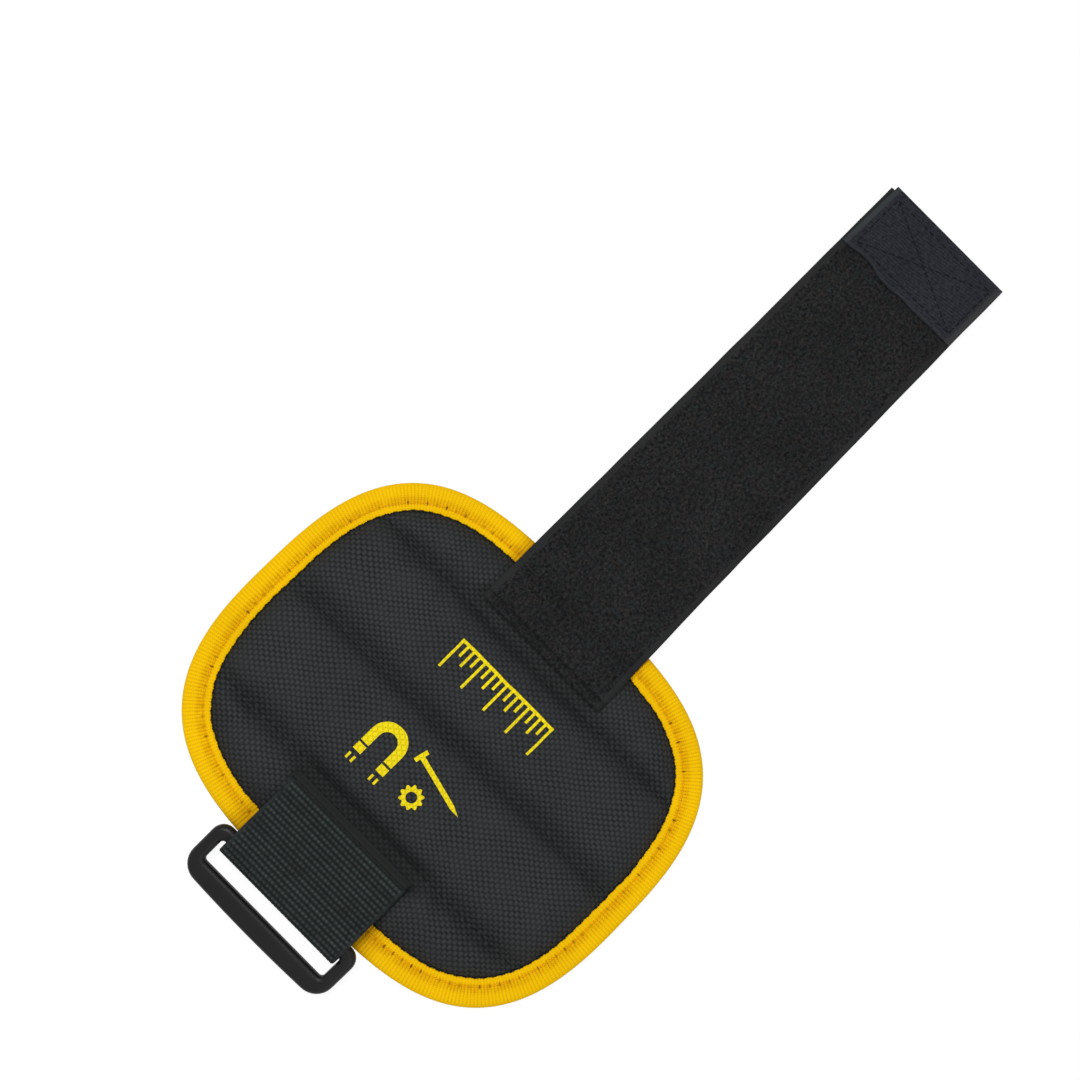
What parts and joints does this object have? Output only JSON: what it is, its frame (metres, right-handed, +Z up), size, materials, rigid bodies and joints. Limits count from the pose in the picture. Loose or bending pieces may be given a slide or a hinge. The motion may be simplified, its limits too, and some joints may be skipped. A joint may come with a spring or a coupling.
{
  "type": "magnetic wristband",
  "caption": "Quilted pad with magnets inside, bound in yellow tape, with a ring on a webbing tab at one end and a long loop-tape strap with a hook patch at the other.",
  "frame": {"origin": "under the middle of the overall length, on the table that the band lies on", "axes": "+X along the strap from the ring to the hook patch, +Y across the pad, +Z up out of the outer face"},
  "size_m": [0.3158, 0.1566, 0.0113],
  "materials": {
    "cover_nylon": "woven ballistic nylon, matt with a slight sheen",
    "lining_fabric": "fine plain weave, matt",
    "foam": "closed-cell foam",
    "binding_tape": "ribbed polyester grosgrain",
    "magnet": "nickel-plated",
    "webbing": "ribbed webbing",
    "ring_plastic": "satin moulded nylon",
    "loop_tape": "brushed loop pile",
    "hook_tape": "fine moulded hooks"
  },
  "bodies": {
    "panel_2": {"cover_panel_2": "cover_nylon", "lining_panel_2": "lining_fabric", "foam_channel_2": "foam", "binding_tape_2_left": "binding_tape", "binding_tape_2_right": "binding_tape", "magnet_2_1": "magnet", "magnet_2_2": "magnet", "magnet_2_3": "magnet", "magnet_2_4": "magnet"},
    "panel_1": {"cover_panel_1": "cover_nylon", "lining_panel_1": "lining_fabric", "foam_channel_1": "foam", "binding_tape_1": "binding_tape", "webbing_tab": "webbing"},
    "panel_3": {"cover_panel_3": "cover_nylon", "lining_panel_3": "lining_fabric", "foam_channel_3": "foam", "binding_tape_3_left": "binding_tape", "binding_tape_3_right": "binding_tape", "magnet_3_1": "magnet", "magnet_3_2": "magnet", "magnet_3_3": "magnet", "magnet_3_4": "magnet"},
    "panel_4": {"cover_panel_4": "cover_nylon", "lining_panel_4": "lining_fabric", "foam_channel_4": "foam", "binding_tape_4": "binding_tape", "strap_root": "loop_tape"},
    "ring": {"ring": "ring_plastic"},
    "strap_1": {"strap_1": "loop_tape"},
    "strap_2": {"strap_2": "loop_tape"},
    "strap_3": {"strap_3": "loop_tape"},
    "strap_4": {"strap_4": "loop_tape"},
    "strap_tip": {"strap_tip": "loop_tape", "hook_patch": "hook_tape"}
  },
  "joints": [
    {"name": "pad_fold_1", "type": "hinge", "parent": "panel_2", "child": "panel_1", "pos_m": [-0.10858, 0, 0.0008], "axis": [0, -1, 0], "range_deg": [-10, 40]},
    {"name": "pad_fold_2", "type": "hinge", "parent": "panel_2", "child": "panel_3", "pos_m": [-0.07238, 0, 0.0008], "axis": [0, 1, 0], "range_deg": [-10, 40]},
    {"name": "pad_fold_3", "type": "hinge", "parent": "panel_3", "child": "panel_4", "pos_m": [-0.03898, 0, 0.0008], "axis": [0, 1, 0], "range_deg": [-10, 40]},
    {"name": "ring_swivel", "type": "hinge", "parent": "panel_1", "child": "ring", "pos_m": [-0.14067, 0, 0.00695], "axis": [0, 1, 0], "range_deg": [-55, 160]},
    {"name": "strap_bend_1", "type": "hinge", "parent": "panel_4", "child": "strap_1", "pos_m": [-0.00863, 0, 0.00509], "axis": [0, 1, 0], "range_deg": [-35, 35]},
    {"name": "strap_bend_2", "type": "hinge", "parent": "strap_1", "child": "strap_2", "pos_m": [0.02621, 0, 0.001], "axis": [0, 1, 0], "range_deg": [-35, 35]},
    {"name": "strap_bend_3", "type": "hinge", "parent": "strap_2", "child": "strap_3", "pos_m": [0.06105, 0, 0.001], "axis": [0, 1, 0], "range_deg": [-35, 35]},
    {"name": "strap_bend_4", "type": "hinge", "parent": "strap_3", "child": "strap_4", "pos_m": [0.09589, 0, 0.001], "axis": [0, 1, 0], "range_deg": [-35, 35]},
    {"name": "strap_bend_5", "type": "hinge", "parent": "strap_4", "child": "strap_tip", "pos_m": [0.13073, 0, 0.001], "axis": [0, 1, 0], "range_deg": [-35, 35]}
  ]
}
